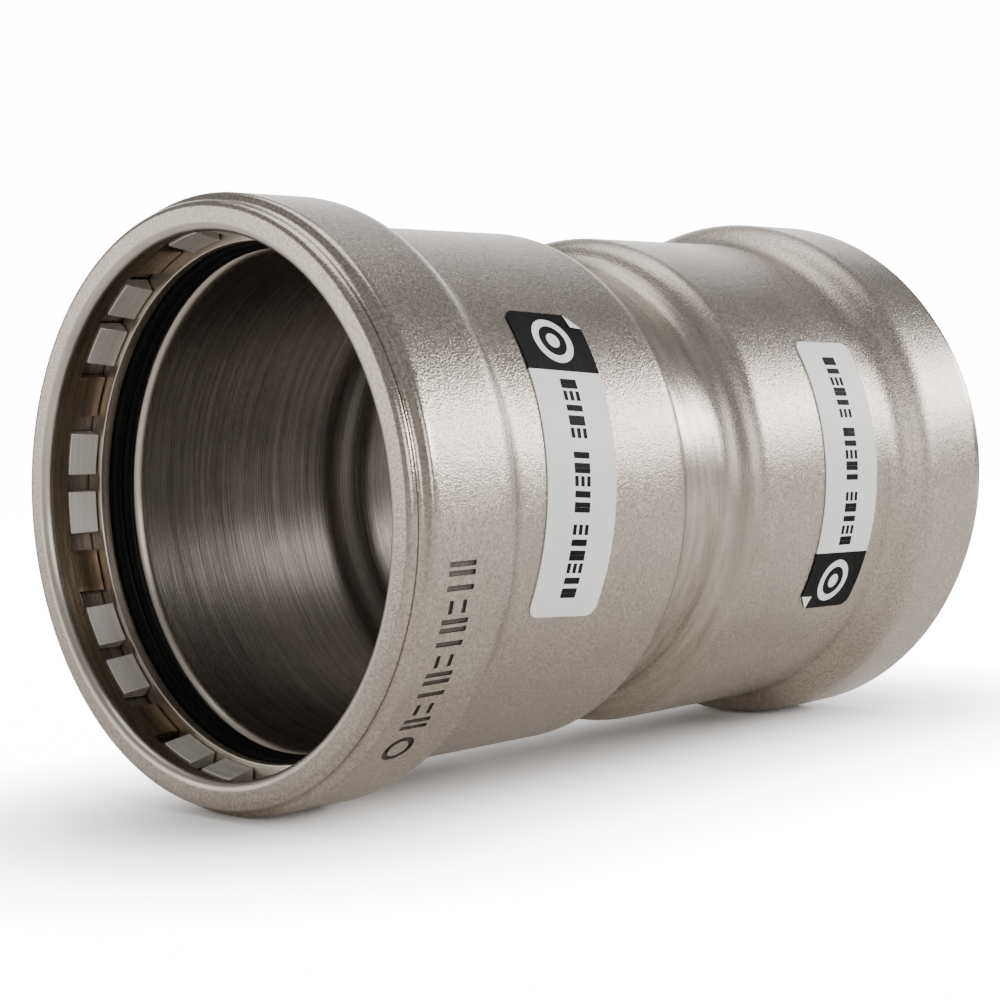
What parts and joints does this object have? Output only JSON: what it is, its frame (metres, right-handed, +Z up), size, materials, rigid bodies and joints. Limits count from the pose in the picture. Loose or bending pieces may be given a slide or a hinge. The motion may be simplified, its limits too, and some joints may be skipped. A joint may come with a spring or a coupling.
{
  "type": "press coupling",
  "caption": "Straight large-diameter steel press coupling with a narrowed middle, grip jaws, separator ring and rubber seal in each collar, and removable strip labels.",
  "frame": {"origin": "middle of the coupling on its own axis", "axes": "+X along the axis from the front mouth to the rear mouth, +Z up with the coupling lying on its side"},
  "size_m": [0.168, 0.109, 0.109],
  "materials": {
    "blasted_steel": "bead-blasted satin outside, brushed inside",
    "dark_steel": "dark turned steel with fine rings",
    "jaw_steel": "bright satin with thin polished edges",
    "ring_steel": "light brushed",
    "seal_rubber": "satin black",
    "label_film": "white film with black print"
  },
  "bodies": {
    "shell": {"body_shell": "blasted_steel", "front_seal_ring": "seal_rubber", "rear_seal_ring": "seal_rubber", "front_control_label": "label_film", "rear_control_label": "label_film"},
    "front_cage": {"front_grip_cage": "dark_steel"},
    "front_separator": {"front_separator_ring": "ring_steel"},
    "front_jaw_01": {"front_grip_jaw_01": "jaw_steel"},
    "front_jaw_02": {"front_grip_jaw_02": "jaw_steel"},
    "front_jaw_03": {"front_grip_jaw_03": "jaw_steel"},
    "front_jaw_04": {"front_grip_jaw_04": "jaw_steel"},
    "front_jaw_05": {"front_grip_jaw_05": "jaw_steel"},
    "front_jaw_06": {"front_grip_jaw_06": "jaw_steel"},
    "front_jaw_07": {"front_grip_jaw_07": "jaw_steel"},
    "front_jaw_08": {"front_grip_jaw_08": "jaw_steel"},
    "front_jaw_09": {"front_grip_jaw_09": "jaw_steel"},
    "front_jaw_10": {"front_grip_jaw_10": "jaw_steel"},
    "front_jaw_11": {"front_grip_jaw_11": "jaw_steel"},
    "front_jaw_12": {"front_grip_jaw_12": "jaw_steel"},
    "front_jaw_13": {"front_grip_jaw_13": "jaw_steel"},
    "front_jaw_14": {"front_grip_jaw_14": "jaw_steel"},
    "front_jaw_15": {"front_grip_jaw_15": "jaw_steel"},
    "front_jaw_16": {"front_grip_jaw_16": "jaw_steel"},
    "front_jaw_17": {"front_grip_jaw_17": "jaw_steel"},
    "front_jaw_18": {"front_grip_jaw_18": "jaw_steel"},
    "rear_cage": {"rear_grip_cage": "dark_steel"},
    "rear_separator": {"rear_separator_ring": "ring_steel"},
    "rear_jaw_01": {"rear_grip_jaw_01": "jaw_steel"},
    "rear_jaw_02": {"rear_grip_jaw_02": "jaw_steel"},
    "rear_jaw_03": {"rear_grip_jaw_03": "jaw_steel"},
    "rear_jaw_04": {"rear_grip_jaw_04": "jaw_steel"},
    "rear_jaw_05": {"rear_grip_jaw_05": "jaw_steel"},
    "rear_jaw_06": {"rear_grip_jaw_06": "jaw_steel"},
    "rear_jaw_07": {"rear_grip_jaw_07": "jaw_steel"},
    "rear_jaw_08": {"rear_grip_jaw_08": "jaw_steel"},
    "rear_jaw_09": {"rear_grip_jaw_09": "jaw_steel"},
    "rear_jaw_10": {"rear_grip_jaw_10": "jaw_steel"},
    "rear_jaw_11": {"rear_grip_jaw_11": "jaw_steel"},
    "rear_jaw_12": {"rear_grip_jaw_12": "jaw_steel"},
    "rear_jaw_13": {"rear_grip_jaw_13": "jaw_steel"},
    "rear_jaw_14": {"rear_grip_jaw_14": "jaw_steel"},
    "rear_jaw_15": {"rear_grip_jaw_15": "jaw_steel"},
    "rear_jaw_16": {"rear_grip_jaw_16": "jaw_steel"},
    "rear_jaw_17": {"rear_grip_jaw_17": "jaw_steel"},
    "rear_jaw_18": {"rear_grip_jaw_18": "jaw_steel"}
  },
  "joints": [
    {"name": "front_cage_spin", "type": "hinge", "parent": "shell", "child": "front_cage", "pos_m": [-0.077, 0, 0], "axis": [1, 0, 0], "continuous": true},
    {"name": "front_separator_spin", "type": "hinge", "parent": "shell", "child": "front_separator", "pos_m": [-0.0713, 0, 0], "axis": [1, 0, 0], "continuous": true},
    {"name": "front_jaw_01_press", "type": "slide", "parent": "front_cage", "child": "front_jaw_01", "axis": [0, -0.9995, 0.0308], "range_m": [0, 0.0029]},
    {"name": "front_jaw_02_press", "type": "slide", "parent": "front_cage", "child": "front_jaw_02", "axis": [0, -0.9797, -0.2005], "range_m": [0, 0.0029]},
    {"name": "front_jaw_03_press", "type": "slide", "parent": "front_cage", "child": "front_jaw_03", "axis": [0, -0.7855, -0.6189], "range_m": [0, 0.0029]},
    {"name": "front_jaw_04_press", "type": "slide", "parent": "front_cage", "child": "front_jaw_04", "axis": [0, -0.6216, -0.7833], "range_m": [0, 0.0029]},
    {"name": "front_jaw_05_press", "type": "slide", "parent": "front_cage", "child": "front_jaw_05", "axis": [0, -0.2039, -0.979], "range_m": [0, 0.0029]},
    {"name": "front_jaw_06_press", "type": "slide", "parent": "front_cage", "child": "front_jaw_06", "axis": [0, 0.0273, -0.9996], "range_m": [0, 0.0029]},
    {"name": "front_jaw_07_press", "type": "slide", "parent": "front_cage", "child": "front_jaw_07", "axis": [0, 0.4731, -0.881], "range_m": [0, 0.0029]},
    {"name": "front_jaw_08_press", "type": "slide", "parent": "front_cage", "child": "front_jaw_08", "axis": [0, 0.6635, -0.7482], "range_m": [0, 0.0029]},
    {"name": "front_jaw_09_press", "type": "slide", "parent": "front_cage", "child": "front_jaw_09", "axis": [0, 0.9287, -0.3708], "range_m": [0, 0.0029]},
    {"name": "front_jaw_10_press", "type": "slide", "parent": "front_cage", "child": "front_jaw_10", "axis": [0, 0.9892, -0.1467], "range_m": [0, 0.0029]},
    {"name": "front_jaw_11_press", "type": "slide", "parent": "front_cage", "child": "front_jaw_11", "axis": [0, 0.9498, 0.3129], "range_m": [0, 0.0029]},
    {"name": "front_jaw_12_press", "type": "slide", "parent": "front_cage", "child": "front_jaw_12", "axis": [0, 0.852, 0.5235], "range_m": [0, 0.0029]},
    {"name": "front_jaw_13_press", "type": "slide", "parent": "front_cage", "child": "front_jaw_13", "axis": [0, 0.5265, 0.8502], "range_m": [0, 0.0029]},
    {"name": "front_jaw_14_press", "type": "slide", "parent": "front_cage", "child": "front_jaw_14", "axis": [0, 0.3162, 0.9487], "range_m": [0, 0.0029]},
    {"name": "front_jaw_15_press", "type": "slide", "parent": "front_cage", "child": "front_jaw_15", "axis": [0, -0.1432, 0.9897], "range_m": [0, 0.0029]},
    {"name": "front_jaw_16_press", "type": "slide", "parent": "front_cage", "child": "front_jaw_16", "axis": [0, -0.3676, 0.93], "range_m": [0, 0.0029]},
    {"name": "front_jaw_17_press", "type": "slide", "parent": "front_cage", "child": "front_jaw_17", "axis": [0, -0.7459, 0.6661], "range_m": [0, 0.0029]},
    {"name": "front_jaw_18_press", "type": "slide", "parent": "front_cage", "child": "front_jaw_18", "axis": [0, -0.8794, 0.4761], "range_m": [0, 0.0029]},
    {"name": "rear_cage_spin", "type": "hinge", "parent": "shell", "child": "rear_cage", "pos_m": [0.077, 0, 0], "axis": [1, 0, 0], "continuous": true},
    {"name": "rear_separator_spin", "type": "hinge", "parent": "shell", "child": "rear_separator", "pos_m": [0.0713, 0, 0], "axis": [1, 0, 0], "continuous": true},
    {"name": "rear_jaw_01_press", "type": "slide", "parent": "rear_cage", "child": "rear_jaw_01", "axis": [0, -0.9995, 0.0308], "range_m": [0, 0.0029]},
    {"name": "rear_jaw_02_press", "type": "slide", "parent": "rear_cage", "child": "rear_jaw_02", "axis": [0, -0.9797, -0.2005], "range_m": [0, 0.0029]},
    {"name": "rear_jaw_03_press", "type": "slide", "parent": "rear_cage", "child": "rear_jaw_03", "axis": [0, -0.7855, -0.6189], "range_m": [0, 0.0029]},
    {"name": "rear_jaw_04_press", "type": "slide", "parent": "rear_cage", "child": "rear_jaw_04", "axis": [0, -0.6216, -0.7833], "range_m": [0, 0.0029]},
    {"name": "rear_jaw_05_press", "type": "slide", "parent": "rear_cage", "child": "rear_jaw_05", "axis": [0, -0.2039, -0.979], "range_m": [0, 0.0029]},
    {"name": "rear_jaw_06_press", "type": "slide", "parent": "rear_cage", "child": "rear_jaw_06", "axis": [0, 0.0273, -0.9996], "range_m": [0, 0.0029]},
    {"name": "rear_jaw_07_press", "type": "slide", "parent": "rear_cage", "child": "rear_jaw_07", "axis": [0, 0.4731, -0.881], "range_m": [0, 0.0029]},
    {"name": "rear_jaw_08_press", "type": "slide", "parent": "rear_cage", "child": "rear_jaw_08", "axis": [0, 0.6635, -0.7482], "range_m": [0, 0.0029]},
    {"name": "rear_jaw_09_press", "type": "slide", "parent": "rear_cage", "child": "rear_jaw_09", "axis": [0, 0.9287, -0.3708], "range_m": [0, 0.0029]},
    {"name": "rear_jaw_10_press", "type": "slide", "parent": "rear_cage", "child": "rear_jaw_10", "axis": [0, 0.9892, -0.1467], "range_m": [0, 0.0029]},
    {"name": "rear_jaw_11_press", "type": "slide", "parent": "rear_cage", "child": "rear_jaw_11", "axis": [0, 0.9498, 0.3129], "range_m": [0, 0.0029]},
    {"name": "rear_jaw_12_press", "type": "slide", "parent": "rear_cage", "child": "rear_jaw_12", "axis": [0, 0.852, 0.5235], "range_m": [0, 0.0029]},
    {"name": "rear_jaw_13_press", "type": "slide", "parent": "rear_cage", "child": "rear_jaw_13", "axis": [0, 0.5265, 0.8502], "range_m": [0, 0.0029]},
    {"name": "rear_jaw_14_press", "type": "slide", "parent": "rear_cage", "child": "rear_jaw_14", "axis": [0, 0.3162, 0.9487], "range_m": [0, 0.0029]},
    {"name": "rear_jaw_15_press", "type": "slide", "parent": "rear_cage", "child": "rear_jaw_15", "axis": [0, -0.1432, 0.9897], "range_m": [0, 0.0029]},
    {"name": "rear_jaw_16_press", "type": "slide", "parent": "rear_cage", "child": "rear_jaw_16", "axis": [0, -0.3676, 0.93], "range_m": [0, 0.0029]},
    {"name": "rear_jaw_17_press", "type": "slide", "parent": "rear_cage", "child": "rear_jaw_17", "axis": [0, -0.7459, 0.6661], "range_m": [0, 0.0029]},
    {"name": "rear_jaw_18_press", "type": "slide", "parent": "rear_cage", "child": "rear_jaw_18", "axis": [0, -0.8794, 0.4761], "range_m": [0, 0.0029]}
  ],
  "couplings": [
    {"joint": "front_jaw_02_press", "follows": "front_jaw_01_press", "ratio": 1},
    {"joint": "front_jaw_03_press", "follows": "front_jaw_01_press", "ratio": 1},
    {"joint": "front_jaw_04_press", "follows": "front_jaw_01_press", "ratio": 1},
    {"joint": "front_jaw_05_press", "follows": "front_jaw_01_press", "ratio": 1},
    {"joint": "front_jaw_06_press", "follows": "front_jaw_01_press", "ratio": 1},
    {"joint": "front_jaw_07_press", "follows": "front_jaw_01_press", "ratio": 1},
    {"joint": "front_jaw_08_press", "follows": "front_jaw_01_press", "ratio": 1},
    {"joint": "front_jaw_09_press", "follows": "front_jaw_01_press", "ratio": 1},
    {"joint": "front_jaw_10_press", "follows": "front_jaw_01_press", "ratio": 1},
    {"joint": "front_jaw_11_press", "follows": "front_jaw_01_press", "ratio": 1},
    {"joint": "front_jaw_12_press", "follows": "front_jaw_01_press", "ratio": 1},
    {"joint": "front_jaw_13_press", "follows": "front_jaw_01_press", "ratio": 1},
    {"joint": "front_jaw_14_press", "follows": "front_jaw_01_press", "ratio": 1},
    {"joint": "front_jaw_15_press", "follows": "front_jaw_01_press", "ratio": 1},
    {"joint": "front_jaw_16_press", "follows": "front_jaw_01_press", "ratio": 1},
    {"joint": "front_jaw_17_press", "follows": "front_jaw_01_press", "ratio": 1},
    {"joint": "front_jaw_18_press", "follows": "front_jaw_01_press", "ratio": 1},
    {"joint": "rear_jaw_02_press", "follows": "rear_jaw_01_press", "ratio": 1},
    {"joint": "rear_jaw_03_press", "follows": "rear_jaw_01_press", "ratio": 1},
    {"joint": "rear_jaw_04_press", "follows": "rear_jaw_01_press", "ratio": 1},
    {"joint": "rear_jaw_05_press", "follows": "rear_jaw_01_press", "ratio": 1},
    {"joint": "rear_jaw_06_press", "follows": "rear_jaw_01_press", "ratio": 1},
    {"joint": "rear_jaw_07_press", "follows": "rear_jaw_01_press", "ratio": 1},
    {"joint": "rear_jaw_08_press", "follows": "rear_jaw_01_press", "ratio": 1},
    {"joint": "rear_jaw_09_press", "follows": "rear_jaw_01_press", "ratio": 1},
    {"joint": "rear_jaw_10_press", "follows": "rear_jaw_01_press", "ratio": 1},
    {"joint": "rear_jaw_11_press", "follows": "rear_jaw_01_press", "ratio": 1},
    {"joint": "rear_jaw_12_press", "follows": "rear_jaw_01_press", "ratio": 1},
    {"joint": "rear_jaw_13_press", "follows": "rear_jaw_01_press", "ratio": 1},
    {"joint": "rear_jaw_14_press", "follows": "rear_jaw_01_press", "ratio": 1},
    {"joint": "rear_jaw_15_press", "follows": "rear_jaw_01_press", "ratio": 1},
    {"joint": "rear_jaw_16_press", "follows": "rear_jaw_01_press", "ratio": 1},
    {"joint": "rear_jaw_17_press", "follows": "rear_jaw_01_press", "ratio": 1},
    {"joint": "rear_jaw_18_press", "follows": "rear_jaw_01_press", "ratio": 1}
  ]
}
